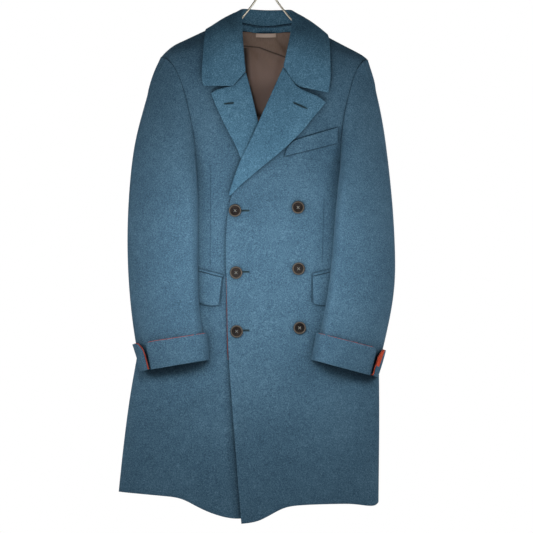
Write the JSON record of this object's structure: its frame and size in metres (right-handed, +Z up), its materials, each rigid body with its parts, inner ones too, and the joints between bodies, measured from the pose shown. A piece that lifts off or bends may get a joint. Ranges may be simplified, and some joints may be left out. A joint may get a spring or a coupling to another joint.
{
  "type": "double-breasted coat on a wire hanger",
  "caption": "Double-breasted wool coat with wide lapels, flap pockets and turned-back cuffs, hung open-ended on a wire hanger.",
  "frame": {"origin": "point inside the hanger's hook that rests on a rail", "axes": "+Z up, +X to the viewer's right (the wearer's left), the front faces -Y"},
  "size_m": [0.5983, 0.152, 1.2322],
  "materials": {
    "wool": "heavy wool with a short matt nap and faint heather",
    "wool_light": "the same wool in a slightly lighter, greener blue",
    "lining": "satin with a soft sheen",
    "loop_tape": "woven tape, soft sheen",
    "orange_felt": "matt felt",
    "button_horn": "polished dark horn look",
    "hanger_metal": "dull pale wire"
  },
  "bodies": {
    "root": {"back": "wool", "front_under": "wool", "front_over": "wool", "lapel_over": "wool_light", "lapel_under": "wool_light", "collar": "wool_light", "collar_stand": "wool_light", "breast_welt": "wool", "neck_facing": "wool_light", "lining_back": "lining", "hanging_loop": "loop_tape", "hanger_hook": "hanger_metal", "hanger_ferrule": "hanger_metal", "hanger_arms": "hanger_metal", "sleeve_top_left": "wool", "sleeve_under_left": "wool", "cuff_left": "wool", "cuff_facing_left": "orange_felt", "flap_left": "wool", "jet_left": "wool", "sleeve_top_right": "wool", "sleeve_under_right": "wool", "cuff_right": "wool", "cuff_facing_right": "orange_felt", "flap_right": "wool", "jet_right": "wool", "button_1": "button_horn", "button_2": "button_horn", "button_3": "button_horn", "button_4": "button_horn", "button_5": "button_horn", "button_6": "button_horn"}
  },
  "joints": []
}
